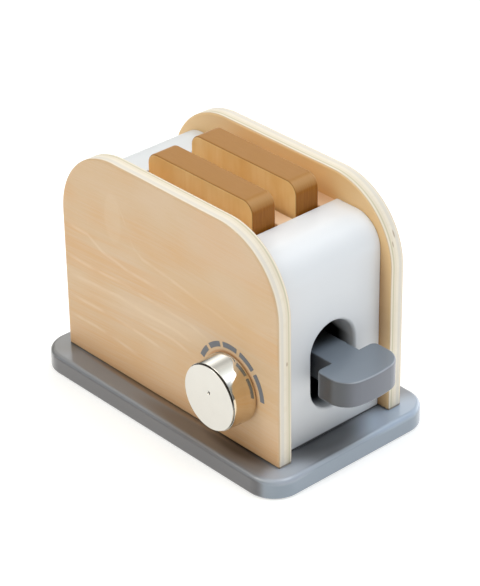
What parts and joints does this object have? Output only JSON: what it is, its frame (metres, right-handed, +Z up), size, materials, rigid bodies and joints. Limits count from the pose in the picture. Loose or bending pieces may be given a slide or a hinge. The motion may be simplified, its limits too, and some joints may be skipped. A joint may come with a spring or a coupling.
{
  "type": "toy toaster",
  "caption": "Wooden toy toaster with a sprung front lever, loose wooden toast slices, plywood sides and a turning knob with dial marks.",
  "frame": {"origin": "middle of the base plate's underside, where the toy rests on the floor", "axes": "+X along the length towards the lever, -Y out of the knob side panel, +Z up"},
  "size_m": [0.1955, 0.1127, 0.1348],
  "materials": {
    "grey_paint": "satin grey paint over solid wood",
    "plywood": "clear sealed birch plywood, layered light edges",
    "white_paint": "satin white paint over solid wood",
    "bare_board": "sanded bare wood",
    "toast_brown": "toast-brown stained wood with darker painted edges",
    "polished_chrome": "polished chrome plate",
    "zinc_steel": "zinc-plated steel",
    "spring_steel": "drawn spring wire",
    "turned_brass": "turned brass",
    "dowel_wood": "sanded beech dowel",
    "dial_print": "flat grey screen print"
  },
  "bodies": {
    "housing": {"base_plate": "grey_paint", "knob_side_panel": "plywood", "plain_side_panel": "plywood", "front_end_block": "white_paint", "rear_end_block": "white_paint", "slot_divider": "bare_board", "knob_side_liner": "bare_board", "plain_side_liner": "bare_board", "base_screws": "zinc_steel", "panel_dowels": "dowel_wood", "divider_dowels": "dowel_wood", "front_guide_dowel": "dowel_wood", "rear_guide_dowel": "dowel_wood", "front_lift_spring": "spring_steel", "rear_lift_spring": "spring_steel", "spindle_bush": "turned_brass", "dial_marks": "dial_print"},
    "carriage": {"lever_board": "grey_paint", "toast_platform": "plywood", "platform_screws": "zinc_steel"},
    "near_slice": {"near_toast": "toast_brown"},
    "far_slice": {"far_toast": "toast_brown"},
    "knob": {"knob_cap": "polished_chrome", "knob_spindle": "zinc_steel", "spindle_washer": "zinc_steel", "lock_nut": "zinc_steel"}
  },
  "joints": [
    {"name": "lever_slide", "type": "slide", "parent": "housing", "child": "carriage", "axis": [0, 0, 1], "range_m": [-0.0144, 0.0116], "stiffness_N_per_m": 470, "springref_m": 0.0029, "deforming": ["front_lift_spring", "rear_lift_spring"]},
    {"name": "near_toast_lift", "type": "slide", "parent": "carriage", "child": "near_slice", "axis": [0, 0, 1], "range_m": [0, 0.08]},
    {"name": "far_toast_lift", "type": "slide", "parent": "carriage", "child": "far_slice", "axis": [0, 0, 1], "range_m": [0, 0.08]},
    {"name": "knob_turn", "type": "hinge", "parent": "housing", "child": "knob", "pos_m": [0.0471, -0.0422, 0.04305], "axis": [0, -1, 0], "continuous": true}
  ]
}
